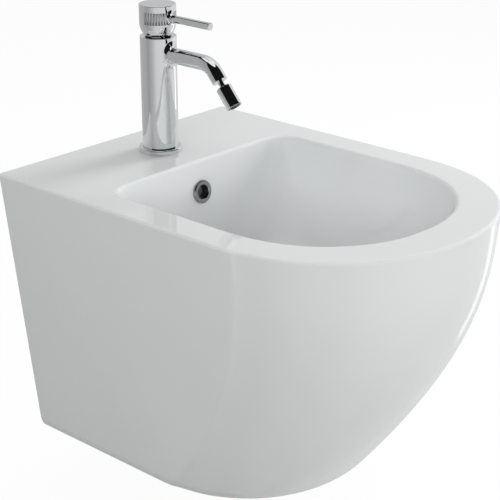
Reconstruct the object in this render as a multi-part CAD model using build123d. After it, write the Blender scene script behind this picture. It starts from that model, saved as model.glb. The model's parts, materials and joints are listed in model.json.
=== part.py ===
from build123d import *
import os
from math import cos, pi, radians, sin, sqrt, tan

os.makedirs("parts", exist_ok=True)

# Wall-hung bidet with a single-lever mixer. Sizes are in millimetres and degrees.
# The wall is the plane Y = 0, the front faces -Y, and the origin lies midway between
# the two wall-stud holes. Heights marked "drop" are measured down from the deck top.

# Wall fixing
STUD_SPACING = 180.0
STUD_DROP = 80.0
SLEEVE_BORE_R = 6.5
SLEEVE_WALL = 4.2
SLEEVE_FLANGE_R = 17.0
SLEEVE_FLANGE_T = 3.0
SLEEVE_CLEARANCE = 0.3
WASHER_R = 12.0
WASHER_T = 2.5

# Outside of the ceramic
BASIN_WIDTH = 360.0
BASIN_PROJECTION = 496.8
BASIN_HEIGHT = 334.0
SIDE_LEAN = 6.93
SIDE_STRAIGHT_TOP = 305.6
SIDE_STRAIGHT_FOOT = 176.0
STRAIGHT_FADE = 2.34
FOOT_PROJECTION = 338.0
FRONT_CREST_PULL = 4.9
FRONT_CREST_DROP = 59.4
FRONT_BELLY_PULL = 167.3
FRONT_BELLY_DROP = 133.7
NOSE_POWER_X = 2.06
NOSE_POWER_Y = 2.3
TOP_EDGE_R = 3.0
FOOT_EDGE_R = 18.0

# Walls of the ceramic
DECK_T = 13.0
SKIRT_T = 11.0
REAR_T = 14.0
FOOT_T = 12.0
FOOT_LIP = 34.0
BOWL_T = 10.0

# Service window in the rear wall
WINDOW_WIDTH = 130.0
WINDOW_DROP = 135.0
WINDOW_CORNER_R = 14.0

# Bowl
BOWL_WIDTH = 280.2
BOWL_BACK = 130.5
BOWL_FRONT = 453.9
BOWL_STRAIGHT = 307.3
BOWL_POWER_X = 2.1
BOWL_POWER_Y = 2.2
BOWL_EDGE_R = 4.0
BOWL_BLEND = 11.0
BACK_WALL_LEAN = 7.0
SIDE_WALL_LEAN = 6.0
FRONT_WALL_LEAN = 12.0
BOWL_DEPTH = 148.0
DISH_TOP_R = 226.0
KNEE_DROP = 100.0
BOWL_SINK = 0.4
RIM_ROLL = 78.0
RIM_OVERRUN = 0.4
BOWL_RAYS = (7.0, 21.0, 33.0, 41.0, 47.0, 53.0, 61.0, 73.0, 88.0, 104.0, 121.0, 138.0, 155.0, 172.0)

# Waste hole and its boss
WASTE_Y = -245.0
WASTE_HOLE_R = 22.5
WASTE_SEAT_R = 33.0
WASTE_SEAT_T = 3.0
WASTE_BOSS_R = 37.0
WASTE_BOSS_LENGTH = 44.0
DRAIN_LAND_R = 41.0

# Overflow and its duct
OVERFLOW_DROP = 36.0
OVERFLOW_HOLE_R = 11.3
OVERFLOW_CLEARANCE = 0.3
OVERFLOW_RING_R = 13.5
OVERFLOW_RING_T = 3.0
OVERFLOW_RING_EDGE_R = 1.5
OVERFLOW_RING_LIP = 0.6
OVERFLOW_RING_BORE_R = 8.2
OVERFLOW_BARREL = 8.0
OVERFLOW_OVERRUN = 2.0
DUCT_WIDTH = 28.0
DUCT_DEPTH = 13.0
DUCT_T = 6.0
DUCT_HEAD = 16.0
DUCT_KNEE = 18.0
DUCT_SHIFT = 26.0
DUCT_OVERRUN = 6.0

# Tap: all heights are above the deck top
TAP_Y = -70.3
TAP_HOLE_R = 17.5
COLUMN_R = 20.7
COLUMN_TOP = 134.4
COLUMN_EDGE_R = 0.6
BASE_RING_R = 25.0
BASE_RING_T = 6.0
BASE_RING_EDGE_R = 1.6
BASE_RING_RECESS = 3.0
BASE_RING_BORE_R = 16.5
RECESS_CLEARANCE = 0.1
GASKET_GROOVE_IN_R = 18.5
GASKET_GROOVE_OUT_R = 22.5
GASKET_T = 1.6
INLET_R = 5.0
INLET_LENGTH = 15.0
INLET_X = 8.0
INLET_Y = 6.0
SUPPLY_BORE_R = 3.2
STUD_R = 4.0
STUD_ENTRY = 12.0
STUD_Y = -11.5
STUD_LENGTH = 62.0

# Tap underside clamp
CLAMP_PLATE_R = 23.0
CLAMP_GASKET_T = 3.0
CLAMP_PLATE_T = 2.5
CLAMP_SLOT_R = 14.5
CLAMP_SLOT_SHIFT = 9.0
STUD_NUT_ACROSS = 13.0
STUD_NUT_T = 10.0
STUD_CLEARANCE = 0.2

# Spout
SPOUT_R = 8.8
SPOUT_BORE_R = 6.8
SPOUT_HEIGHT = 115.0
SPOUT_CORNER_REACH = 80.7
SPOUT_DIP = 49.3
SPOUT_TAIL = 22.2
SPOUT_BEND_R = 25.0
SPOUT_FILLET_R = 8.0

# Ball joint and aerator, measured along the spout's end axis
NECK_R = 3.4
NECK_LENGTH = 7.5
STEM_ENTRY = 8.0
STEM_BORE_R = 2.0
BALL_R = 6.2
BALL_DEPTH = 6.5
BALL_GAP = 0.3
SEAL_FIT = 0.05
SEAL_T = 0.95
SEAL_START = 3.4
SEAL_END = 5.4
SEAL_SEAT_START = 1.0
NECK_CLEARANCE = 0.6
CAP_COLLAR_R = 8.0
CAP_COLLAR_START = 4.0
HOUSING_R = 8.8
HOUSING_LENGTH = 25.1
HOUSING_EDGE_R = 0.8
HOUSING_THROAT_R = 4.6
INSERT_R = 7.3
INSERT_CLEARANCE = 0.1
INSERT_START = 15.0
INSERT_RECESS = 0.9
INSERT_WALL = 1.1
INSERT_FACE_T = 1.6
INSERT_HOLE_R = 0.95
INSERT_PITCH = 2.9
INSERT_ROWS = 2
INSERT_GASKET_T = 1.5
NOTCH_WIDTH = 2.4
NOTCH_DEPTH = 1.2
AERATOR_TILT = 15.0

# Lever handle
PIVOT_HEIGHT = 149.5
HANDLE_R = 20.8
HANDLE_TOP = 170.6
HANDLE_EDGE_R = 0.8
HANDLE_FOOT = 136.0
HANDLE_WALL = 2.5
HANDLE_TOP_T = 3.0
HANDLE_MOUTH_R = 14.3
BELLY_GAP = 0.5
LEVER_R = 4.25
LEVER_HEIGHT = 156.6
LEVER_REACH = 81.7
LEVER_EDGE_R = 0.5
LEVER_FILLET_R = 5.5
KNURL_BASE = 149.6
KNURL_TOP = 163.0
KNURL_COUNT = 20
KNURL_DEPTH = 0.7
KNURL_FILL = 0.62
LEVER_LIFT = 18.0
SPINDLE_BOSS_R = 7.5
SPINDLE_BOSS_LENGTH = 10.5
GRUB_R = 2.0
GRUB_LENGTH = 6.0
GRUB_HEIGHT = 162.5
GRUB_SOCKET = 2.0

# Cartridge
CHAMBER_R = 14.5
CHAMBER_FLOOR = 98.0
HOUSING_GAP = 0.15
CARTRIDGE_FOOT_R = 11.0
CARTRIDGE_FOOT_TOP = 113.0
CARTRIDGE_TOP = 128.0
CARTRIDGE_BORE_R = 12.5
CARTRIDGE_FLOOR_T = 2.0
DISC_T = 3.0
FIXED_DISC_R = 12.4
MOVING_DISC_R = 7.6
MOVING_DISC_RIM = 2.5
PORT_R = 2.2
PORT_X = 5.0
PORT_Y = 4.0
OUTLET_Y = -6.0
OUTLET_R = 2.6
ROTOR_R = 12.2
ROTOR_FLANGE_T = 2.4
ROTOR_NECK_R = 8.0
ROTOR_TOP = 154.0
ROTOR_GAP = 0.3
PIVOT_PIN_R = 1.5
PIN_RUNNING = 0.05
PIN_SHORT = 0.4
SPINDLE_WIDTH = 6.0
SPINDLE_DEPTH = 7.0
SPINDLE_GAP = 0.2
SPINDLE_BLADE_FOOT = 137.0
SPINDLE_STEM_R = 2.1
SPINDLE_BALL_R = 2.5
SPINDLE_SOCKET_GAP = 0.35
DISC_SHIFT = 4.2
NUT_BORE_R = 11.0

# Waste fitting, measured down from the floor of the bowl
FLANGE_R = 31.5
FLANGE_T = 2.4
FLANGE_CHAMFER = 0.8
WASTE_SEAL_T = 1.4
WASTE_SEAL_CLEARANCE = 1.0
TUBE_R = 20.95
TUBE_WALL = 2.2
TUBE_LENGTH = 84.0
RELIEF_WIDTH = 1.5
RELIEF_DEPTH = 0.8
SLOT_DROP = 15.0
SLOT_HEIGHT = 16.0
SLOT_WIDTH = 13.0
SLOT_COUNT = 4
WASTE_GASKET_T = 6.0
WASTE_GASKET_TAPER = 3.0
WASTE_WASHER_T = 1.5
WASTE_NUT_T = 9.0
WASTE_NUT_R = 28.0
WASTE_NUT_LUGS = 8
WASTE_NUT_LUG_R = 3.0
GUIDE_DROP = 52.0
GUIDE_T = 5.0
GUIDE_ARM = 3.0
GUIDE_HUB_R = 8.0
CAPSULE_R = 7.0
CAPSULE_LENGTH = 30.0
CAPSULE_BORE_R = 5.5
CAPSULE_FLOOR_T = 2.0
CAPSULE_ROOF_T = 3.0
PLUG_R = 27.5
PLUG_T = 4.5
PLUG_EDGE_R = 1.5
PLUG_SOCKET = 2.2
PLUG_SEAL_T = 1.2
PLUG_SEAL_INSET = 1.5
PLUG_SEAL_LAP = 1.0
PLUG_TRAVEL = 8.0
PLUG_STEM_R = 3.0
STEM_RUNNING = 0.05
STEM_HEAD_R = 5.0
STEM_HEAD_T = 2.0
STEM_TOP_GAP = 0.4
SPRING_WIRE_R = 0.5
SPRING_TURNS = 4

# Derived places
TOP_Z = STUD_DROP
FOOT_Z = TOP_Z - BASIN_HEIGHT
FLOOR_Z = TOP_Z - BOWL_DEPTH
BOSS_FOOT_Z = FLOOR_Z - WASTE_BOSS_LENGTH
BOSS_SLOT_Z = FLOOR_Z - SLOT_DROP - SLOT_HEIGHT / 2
PIVOT_Z = TOP_Z + PIVOT_HEIGHT
SLEEVE_R = SLEEVE_BORE_R + SLEEVE_WALL
SEAL_OUTER_R = BALL_R + SEAL_FIT + SEAL_T
FIXED_DISC_Z = TOP_Z + CARTRIDGE_FOOT_TOP + CARTRIDGE_FLOOR_T
MOVING_DISC_Z = FIXED_DISC_Z + DISC_T
CARRIER_Z = MOVING_DISC_Z + DISC_T
ROTOR_TOP_Z = TOP_Z + CARTRIDGE_TOP - ROTOR_GAP
ROTOR_FOOT_Z = ROTOR_TOP_Z - ROTOR_FLANGE_T
SPINDLE_BALL_Z = CARRIER_Z + SPINDLE_BALL_R + ROTOR_GAP
SIDE_SLOPE = tan(radians(SIDE_LEAN))
BACK_WALL_SLOPE = tan(radians(BACK_WALL_LEAN))
SIDE_WALL_SLOPE = tan(radians(SIDE_WALL_LEAN))
FRONT_WALL_SLOPE = tan(radians(FRONT_WALL_LEAN))


def write(shape, node):
    """Writes one node's solids to its STEP file."""
    export_step(shape, "parts/" + node + ".step")
    return shape


def group(solids):
    """Keeps separate solids together as one node."""
    return Compound(children=list(solids))


def rod(radius, low, high, x=0.0, y=0.0):
    """Upright cylinder between two heights."""
    return Pos(x, y, (low + high) / 2) * Cylinder(radius, high - low)


def ring(outer, inner, low, high, x=0.0, y=0.0):
    """Upright ring between two heights."""
    return rod(outer, low, high, x, y) - rod(inner, low - 1, high + 1, x, y)


def block(x0, x1, y0, y1, z0, z1):
    """Box between two corners."""
    return Pos((x0 + x1) / 2, (y0 + y1) / 2, (z0 + z1) / 2) * Box(x1 - x0, y1 - y0, z1 - z0)


def bezier(a, b, c, d, t):
    """One coordinate of a cubic curve from a to d."""
    s = 1 - t
    return s**3 * a + 3 * s**2 * t * b + 3 * s * t**2 * c + t**3 * d


def front_reach(drop):
    """Projection of the casing's front, a cubic curve, at a drop below the deck."""
    low = 0.0
    high = 1.0
    for _ in range(40):
        t = (low + high) / 2
        if bezier(0.0, FRONT_CREST_DROP, FRONT_BELLY_DROP, BASIN_HEIGHT, t) < drop:
            low = t
        else:
            high = t
    crest = BASIN_PROJECTION - FRONT_CREST_PULL
    belly = FOOT_PROJECTION + FRONT_BELLY_PULL
    return bezier(BASIN_PROJECTION, crest, belly, FOOT_PROJECTION, (low + high) / 2)


def casing_outline(drop, inset, back):
    """D-shaped outline of the casing at one drop, set in by a wall."""
    half = BASIN_WIDTH / 2 - SIDE_SLOPE * drop - inset
    fade = (drop / BASIN_HEIGHT) ** STRAIGHT_FADE
    straight = SIDE_STRAIGHT_TOP + (SIDE_STRAIGHT_FOOT - SIDE_STRAIGHT_TOP) * fade
    reach = front_reach(drop) - inset - straight
    z = TOP_Z - drop
    steps = 8
    quarter = []
    for i in range(steps):
        turn = pi / 2 * i / steps
        x = half * cos(turn) ** (2 / NOSE_POWER_X)
        y = -straight - reach * sin(turn) ** (2 / NOSE_POWER_Y)
        quarter.append((x, y, z))
    mirrored = [(-x, y, z) for x, y, z in reversed(quarter)]
    points = quarter + [(0.0, -straight - reach, z)] + mirrored
    nose = Spline(*points, tangents=((0, -1, 0), (0, 1, 0)))
    rear = Line((-half, -back, z), (half, -back, z))
    right = Line((half, -back, z), (half, -straight, z))
    left = Line((-half, -straight, z), (-half, -back, z))
    return Wire([rear, right, nose, left])


def casing(inset, back, top_radius, foot_radius):
    """Tapered casing, or its inside: a smooth loft between bands that round its two edges."""
    lean = radians(SIDE_LEAN)
    head = top_radius * (1 + sin(lean))
    reach = BASIN_HEIGHT - foot_radius
    steps = 8
    sides = [casing_outline(head + (reach - head) * i / steps, inset, back) for i in range(steps + 1)]
    body = Solid.make_loft(sides)
    if top_radius > 0:
        outlines = []
        for turn in map(radians, (90.0, 66.0, 42.0, 18.0, -SIDE_LEAN)):
            tuck = top_radius * (tan(lean) * sin(turn) + 1 / cos(lean) - cos(turn))
            outlines.append(casing_outline(top_radius * (1 - sin(turn)), inset + tuck, back))
        body += Solid.make_loft(outlines, ruled=True)
    if foot_radius > 0:
        outlines = []
        for turn in map(radians, (0.0, 15.0, 30.0, 45.0, 60.0, 75.0, 90.0)):
            tuck = foot_radius * (1 - cos(turn))
            outlines.append(casing_outline(reach + foot_radius * sin(turn), inset + tuck, back))
        body += Solid.make_loft(outlines, ruled=True)
    return body


def dish_radius(drop):
    """Radius about the waste of the sloping floor, a cone that flattens at the foot."""
    knee_r = DISH_TOP_R - KNEE_DROP
    if drop <= KNEE_DROP:
        return DISH_TOP_R - drop
    run = (drop - KNEE_DROP) / (BOWL_DEPTH - KNEE_DROP)
    start = (BOWL_DEPTH - KNEE_DROP) / (knee_r - DRAIN_LAND_R)
    fall = start * run + (1 - start) * run**3
    return knee_r - (knee_r - DRAIN_LAND_R) * min(fall, 1.0)


def bowl_level(x, y, drop):
    """One on the bowl's surface, less inside it: walls and floor blended softly."""
    half = BOWL_WIDTH / 2 - SIDE_WALL_SLOPE * drop
    front = BOWL_FRONT - FRONT_WALL_SLOPE * drop
    back = BOWL_BACK + BACK_WALL_SLOPE * drop
    side = abs(x) / half
    nose = max(-y - BOWL_STRAIGHT, 0.0) / (front - BOWL_STRAIGHT)
    wall = (side**BOWL_POWER_X + nose**BOWL_POWER_Y) ** (2 / (BOWL_POWER_X + BOWL_POWER_Y))
    rear = max(y - WASTE_Y, 0.0) / (-WASTE_Y - back)
    floor = sqrt(x * x + (y - WASTE_Y) ** 2) / dish_radius(drop)
    soft = BOWL_BLEND
    return (wall**soft + rear**soft + floor**soft) ** (1 / soft)


def bowl_outline(drop, grow):
    """Closed outline of the bowl at one drop, by rays from the waste, closer at the corners."""
    sunk = max(drop - (BOWL_SINK * grow if drop > BOWL_EDGE_R else 0.0), 0.0)
    turns = [-turn for turn in reversed(BOWL_RAYS)] + list(BOWL_RAYS)
    points = []
    for turn in map(radians, turns):
        low = 0.0
        high = BASIN_PROJECTION
        for _ in range(40):
            r = (low + high) / 2
            inside = bowl_level(r * sin(turn), WASTE_Y + r * cos(turn), sunk) < 1
            low = r if inside else low
            high = high if inside else r
        r = low + grow
        points.append((r * sin(turn), WASTE_Y + r * cos(turn), TOP_Z - drop))
    parameters = [turn - turns[0] for turn in turns] + [360.0]
    return Wire([Edge.make_spline(points, periodic=True, parameters=parameters)])


def bowl_form(grow):
    """The bowl's inside as a solid with a round rim, or its outside when grown."""
    foot = BOWL_DEPTH + (1 + BOWL_SINK) * grow
    drops = [20.0, 40.0, 60.0, 79.0, 97.0, 113.0, 127.0, 139.0, BOWL_DEPTH]
    if grow > 0:
        outlines = [bowl_outline(drop, grow) for drop in [BOWL_EDGE_R / 2] + drops + [foot]]
        return Solid.make_loft(outlines)
    edge = radians(RIM_ROLL)
    rise = BOWL_EDGE_R * (1 - sin(edge)) + RIM_OVERRUN
    spread = BOWL_EDGE_R * (1 - cos(edge)) + rise * tan(edge)
    rim = [bowl_outline(-RIM_OVERRUN, spread)]
    for part in (1.0, 0.7, 0.35, 0.0):
        turn = edge * part
        rim.append(bowl_outline(BOWL_EDGE_R * (1 - sin(turn)), BOWL_EDGE_R * (1 - cos(turn))))
    walls = [bowl_outline(drop, 0.0) for drop in [BOWL_EDGE_R] + drops]
    return Solid.make_loft(rim, ruled=True) + Solid.make_loft(walls)


def overflow_place():
    """Plane on the bowl's rear wall, its normal pointing out into the bowl."""
    y = -(BOWL_BACK + BACK_WALL_SLOPE * OVERFLOW_DROP)
    lean = radians(BACK_WALL_LEAN)
    return Plane(
        origin=(0, y, TOP_Z - OVERFLOW_DROP),
        x_dir=(1, 0, 0),
        z_dir=(0, -cos(lean), sin(lean)),
    )


def duct(grow):
    """Overflow duct's inside, or its casing when grown by the wall."""
    rear_wall = -(BOWL_BACK - BOWL_T)
    head = TOP_Z - OVERFLOW_DROP + DUCT_HEAD + grow
    knee = FLOOR_Z + DUCT_KNEE
    back = rear_wall + DUCT_DEPTH + grow
    low = BOSS_SLOT_Z - DUCT_DEPTH / 2 - grow
    high = BOSS_SLOT_Z + DUCT_DEPTH / 2 + grow
    waste_side = WASTE_Y + WASTE_HOLE_R - DUCT_OVERRUN * (0.0 if grow else 1.0)
    front = rear_wall - (DUCT_OVERRUN if grow else 0.0)
    points = [
        (0, front, head),
        (0, back, head),
        (0, back, knee - DUCT_DEPTH),
        (0, back - DUCT_SHIFT, low),
        (0, waste_side, low),
        (0, waste_side, high),
        (0, front - DUCT_SHIFT, high),
        (0, front, knee),
    ]
    half = DUCT_WIDTH / 2 + grow
    face = make_face(Polyline(*points, close=True))
    return Pos(-half, 0, 0) * extrude(face, amount=2 * half, dir=(1, 0, 0))


def make_basin():
    """The ceramic in one casting: casing, deck, rim, bowl, duct, rear wall and foot."""
    half = BASIN_WIDTH / 2 + 1
    outer = casing(0.0, -REAR_T, TOP_EDGE_R, FOOT_EDGE_R)
    outer -= block(-half, half, 0, 2 * REAR_T, FOOT_Z - 1, TOP_Z + 1)
    inside = casing(SKIRT_T, REAR_T, 0.0, 0.0)
    room = block(-half, half, -BASIN_PROJECTION, 0, FOOT_Z + FOOT_T, TOP_Z - DECK_T)
    mouth = casing(SKIRT_T + FOOT_LIP, REAR_T, 0.0, 0.0)
    slab = block(-half, half, -BASIN_PROJECTION, 0, FOOT_Z - 1, FOOT_Z + FOOT_T + 1)
    shell = outer - (inside & room) - (mouth & slab)
    window = block(
        -WINDOW_WIDTH / 2,
        WINDOW_WIDTH / 2,
        -REAR_T - 1,
        1,
        FOOT_Z - 1,
        TOP_Z - WINDOW_DROP,
    )
    top_corners = window.edges().filter_by(Axis.Y).sort_by(Axis.Z)[-2:]
    shell -= fillet(top_corners, WINDOW_CORNER_R)
    boss = rod(WASTE_BOSS_R, BOSS_FOOT_Z, FLOOR_Z, 0, WASTE_Y)
    shell += bowl_form(BOWL_T) & outer
    shell += boss
    shell += duct(DUCT_T)
    shell -= bowl_form(0.0)
    shell -= duct(0.0)
    shell -= rod(WASTE_HOLE_R, BOSS_FOOT_Z - 1, FLOOR_Z + 1, 0, WASTE_Y)
    shell -= rod(WASTE_SEAT_R, FLOOR_Z - WASTE_SEAT_T, FLOOR_Z + 1, 0, WASTE_Y)
    shell -= rod(TAP_HOLE_R, TOP_Z - DECK_T - 1, TOP_Z + 1, 0, TAP_Y)
    place = overflow_place()
    depth = BOWL_T + DUCT_T + OVERFLOW_OVERRUN
    shell -= place * Pos(0, 0, 1 - depth / 2) * Cylinder(OVERFLOW_HOLE_R, depth + 2)
    for side in (-1, 1):
        hole = Cylinder(SLEEVE_R + SLEEVE_CLEARANCE, REAR_T + 2)
        shell -= Pos(side * STUD_SPACING / 2, -REAR_T / 2, 0) * Rot(90, 0, 0) * hole
    return shell


def make_sleeves():
    """Flanged bushes that line the two stud holes of the rear wall."""
    solids = []
    for side in (-1, 1):
        bush = Pos(0, 0, REAR_T / 2) * Cylinder(SLEEVE_R, REAR_T)
        bush += Pos(0, 0, REAR_T + SLEEVE_FLANGE_T / 2) * Cylinder(SLEEVE_FLANGE_R, SLEEVE_FLANGE_T)
        bush -= Pos(0, 0, REAR_T / 2) * Cylinder(SLEEVE_BORE_R, 2 * REAR_T)
        solids.append(Pos(side * STUD_SPACING / 2, 0, 0) * Rot(90, 0, 0) * bush)
    return group(solids)


def make_washers():
    """Plain washers that spread the load of the wall studs' nuts."""
    solids = []
    seat = REAR_T + SLEEVE_FLANGE_T
    for side in (-1, 1):
        disc = Cylinder(WASHER_R, WASHER_T) - Cylinder(SLEEVE_BORE_R, 2 * WASHER_T)
        place = Pos(side * STUD_SPACING / 2, -seat - WASHER_T / 2, 0)
        solids.append(place * Rot(90, 0, 0) * disc)
    return group(solids)


def make_overflow_ring():
    """Bright ring pressed into the overflow hole."""
    flange = Pos(0, 0, OVERFLOW_RING_T / 2) * Cylinder(OVERFLOW_RING_R, OVERFLOW_RING_T)
    rim = flange.edges().filter_by(GeomType.CIRCLE).sort_by(Axis.Z)[-1]
    flange = fillet(rim, OVERFLOW_RING_EDGE_R)
    barrel_r = OVERFLOW_HOLE_R - OVERFLOW_CLEARANCE
    flange += Pos(0, 0, -OVERFLOW_BARREL / 2) * Cylinder(barrel_r, OVERFLOW_BARREL)
    bore = Cylinder(OVERFLOW_RING_BORE_R, 4 * OVERFLOW_BARREL)
    flange -= bore
    lip = flange.edges().filter_by(GeomType.CIRCLE).sort_by(Axis.Z)[-1]
    flange = chamfer(lip, OVERFLOW_RING_LIP)
    return overflow_place() * flange


def make_base_ring():
    """Trim ring under the column, recessed for its foot and grooved for the gasket."""
    body = rod(BASE_RING_R, TOP_Z, TOP_Z + BASE_RING_T, 0, TAP_Y)
    body = fillet(body.edges().sort_by(Axis.Z)[-1], BASE_RING_EDGE_R)
    seat = TOP_Z + BASE_RING_T - BASE_RING_RECESS
    body -= rod(COLUMN_R + RECESS_CLEARANCE, seat, TOP_Z + BASE_RING_T + 1, 0, TAP_Y)
    body -= rod(BASE_RING_BORE_R, TOP_Z - 1, TOP_Z + BASE_RING_T, 0, TAP_Y)
    groove = ring(
        GASKET_GROOVE_OUT_R, GASKET_GROOVE_IN_R, TOP_Z, TOP_Z + GASKET_T, 0, TAP_Y
    )
    return body - groove


def make_base_gasket():
    """Flat rubber ring in the groove of the base ring."""
    outer = GASKET_GROOVE_OUT_R - RECESS_CLEARANCE
    inner = GASKET_GROOVE_IN_R + RECESS_CLEARANCE
    return ring(outer, inner, TOP_Z, TOP_Z + GASKET_T, 0, TAP_Y)


def spout_end():
    """Plane at the spout's mouth, its normal pointing along the outlet."""
    dip = radians(SPOUT_DIP)
    y = TAP_Y - SPOUT_CORNER_REACH - SPOUT_TAIL * cos(dip)
    z = TOP_Z + SPOUT_HEIGHT - SPOUT_TAIL * sin(dip)
    return Plane(origin=(0, y, z), x_dir=(1, 0, 0), z_dir=(0, -cos(dip), -sin(dip)))


def spout_tube(radius, start, beyond):
    """Bent tube along the spout's centre line, from inside the column."""
    mouth = spout_end().origin + spout_end().z_dir * beyond
    height = TOP_Z + SPOUT_HEIGHT
    corner = (0, TAP_Y - SPOUT_CORNER_REACH, height)
    path = FilletPolyline((0, TAP_Y - start, height), corner, tuple(mouth), radius=SPOUT_BEND_R)
    profile = Plane(origin=(0, TAP_Y - start, height), z_dir=(0, -1, 0)) * Circle(radius)
    return sweep(profile, path=path)


def make_tap_body():
    """Brass casting of the column and its spout, with the cartridge chamber."""
    foot = TOP_Z + BASE_RING_T - BASE_RING_RECESS
    top = TOP_Z + COLUMN_TOP
    column = rod(COLUMN_R, foot, top, 0, TAP_Y)
    body = column + spout_tube(SPOUT_R, 0.0, 0.0)
    joint = body.edges().filter_by(GeomType.BSPLINE)
    body = fillet(joint, SPOUT_FILLET_R)
    crown = body.edges().filter_by(GeomType.CIRCLE).sort_by(Axis.Z)[-1]
    body = fillet(crown, COLUMN_EDGE_R)
    body -= rod(CHAMBER_R, TOP_Z + CHAMBER_FLOOR, top + 1, 0, TAP_Y)
    body -= Pos(0, TAP_Y, PIVOT_Z) * Sphere(HANDLE_R + BELLY_GAP)
    body -= spout_tube(SPOUT_BORE_R, CHAMBER_R - 2, 1.0)
    for side in (-1, 1):
        x = side * INLET_X
        y = TAP_Y + INLET_Y
        body -= rod(INLET_R, foot - 1, foot + INLET_LENGTH, x, y)
        supply = rod(SUPPLY_BORE_R, foot + INLET_LENGTH, TOP_Z + CHAMBER_FLOOR + 1)
        body -= Pos(side * PORT_X, TAP_Y + PORT_Y, 0) * supply
    body -= rod(STUD_R, foot - 1, foot + STUD_ENTRY, 0, TAP_Y + STUD_Y)
    return body


def make_stud():
    """Threaded rod that pulls the tap down on the deck."""
    top = TOP_Z + BASE_RING_T - BASE_RING_RECESS + STUD_ENTRY
    return rod(STUD_R, top - STUD_LENGTH, top, 0, TAP_Y + STUD_Y)


def clamp_plate(low, high):
    """Horseshoe under the deck: a disc with a slot for the supply hoses."""
    plate = rod(CLAMP_PLATE_R, low, high, 0, TAP_Y)
    slot = rod(CLAMP_SLOT_R, low - 1, high + 1, 0, TAP_Y + CLAMP_SLOT_SHIFT)
    reach = CLAMP_PLATE_R + CLAMP_SLOT_R
    y = TAP_Y + CLAMP_SLOT_SHIFT
    slot += block(-CLAMP_SLOT_R, CLAMP_SLOT_R, y, y + reach, low - 1, high + 1)
    hole = rod(STUD_R + STUD_CLEARANCE, low - 1, high + 1, 0, TAP_Y + STUD_Y)
    return plate - slot - hole


def make_stud_nut():
    """Hexagon nut on the tap's stud, under the horseshoe."""
    top = TOP_Z - DECK_T - CLAMP_GASKET_T - CLAMP_PLATE_T
    face = RegularPolygon(STUD_NUT_ACROSS / 2, 6, major_radius=False)
    nut = extrude(Plane(origin=(0, TAP_Y + STUD_Y, top - STUD_NUT_T)) * face, amount=STUD_NUT_T)
    return nut - rod(STUD_R, top - STUD_NUT_T - 1, top + 1, 0, TAP_Y + STUD_Y)


def ports(low, high):
    """Two supply ports and the outlet port of the cartridge."""
    holes = rod(OUTLET_R, low, high, 0, TAP_Y + OUTLET_Y)
    for side in (-1, 1):
        holes += rod(PORT_R, low, high, side * PORT_X, TAP_Y + PORT_Y)
    return holes


def make_cartridge_housing():
    """Plastic cup of the cartridge, on a narrow foot that lets the outlet run round it."""
    floor = TOP_Z + CHAMBER_FLOOR
    waist = TOP_Z + CARTRIDGE_FOOT_TOP
    top = TOP_Z + CARTRIDGE_TOP
    cup = rod(CARTRIDGE_FOOT_R, floor, waist, 0, TAP_Y)
    cup += rod(CHAMBER_R - HOUSING_GAP, waist, top, 0, TAP_Y)
    cup -= rod(CARTRIDGE_BORE_R, waist + CARTRIDGE_FLOOR_T, top + 1, 0, TAP_Y)
    cup -= ports(floor - 1, waist + CARTRIDGE_FLOOR_T + 1)
    outlet = block(
        -OUTLET_R,
        OUTLET_R,
        TAP_Y - CARTRIDGE_FOOT_R - 1,
        TAP_Y + OUTLET_Y,
        floor + 2 * OUTLET_R,
        waist - OUTLET_R,
    )
    return cup - outlet


def make_fixed_disc():
    """Ceramic disc with the ports, still in the housing."""
    disc = rod(FIXED_DISC_R, FIXED_DISC_Z, MOVING_DISC_Z, 0, TAP_Y)
    return disc - ports(FIXED_DISC_Z - 1, MOVING_DISC_Z + 1)


def make_moving_disc():
    """Ceramic disc that slides over the ports, hollowed below to join them."""
    y = TAP_Y + DISC_SHIFT
    disc = rod(MOVING_DISC_R, MOVING_DISC_Z, CARRIER_Z, 0, y)
    hollow_top = MOVING_DISC_Z + DISC_T / 2
    return disc - rod(MOVING_DISC_R - MOVING_DISC_RIM, MOVING_DISC_Z - 1, hollow_top, 0, y)


def make_disc_carrier():
    """Plastic carrier on the moving disc, with the socket for the spindle's ball."""
    high = ROTOR_FOOT_Z - ROTOR_GAP
    carrier = rod(MOVING_DISC_R, CARRIER_Z, high, 0, TAP_Y + DISC_SHIFT)
    return carrier - rod(SPINDLE_BALL_R + SPINDLE_SOCKET_GAP, CARRIER_Z - 1, high + 1, 0, TAP_Y)


def make_cartridge_nut():
    """Threaded brass ring over the cartridge, dished for the handle's belly."""
    low = TOP_Z + CARTRIDGE_TOP
    body = ring(CHAMBER_R, NUT_BORE_R, low, TOP_Z + COLUMN_TOP, 0, TAP_Y)
    return body - Pos(0, TAP_Y, PIVOT_Z) * Sphere(HANDLE_R + BELLY_GAP)


def make_rotor():
    """Turning fork of the cartridge: a flange under the nut and a slotted neck."""
    top = TOP_Z + ROTOR_TOP
    body = rod(ROTOR_R, ROTOR_FOOT_Z, ROTOR_TOP_Z, 0, TAP_Y)
    body += rod(ROTOR_NECK_R, ROTOR_FOOT_Z, top, 0, TAP_Y)
    half = SPINDLE_WIDTH / 2 + SPINDLE_GAP
    wide = ROTOR_R + 1
    body -= block(-half, half, TAP_Y - wide, TAP_Y + wide, ROTOR_TOP_Z, top + 1)
    well = SPINDLE_BALL_R + SPINDLE_GAP
    swing = (PIVOT_Z - SPINDLE_BALL_Z) * sin(radians(LEVER_LIFT)) + well
    body -= block(-half, half, TAP_Y - swing, TAP_Y + well, ROTOR_FOOT_Z - 1, ROTOR_TOP_Z + 1)
    pin = Pos(0, TAP_Y, PIVOT_Z) * Rot(0, 90, 0) * Cylinder(PIVOT_PIN_R, 2 * wide)
    return body - pin


def make_pivot_pin():
    """Steel pin across the fork that the spindle rocks on."""
    length = 2 * (ROTOR_NECK_R - PIN_SHORT)
    return Pos(0, TAP_Y, PIVOT_Z) * Rot(0, 90, 0) * Cylinder(PIVOT_PIN_R, length)


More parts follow.
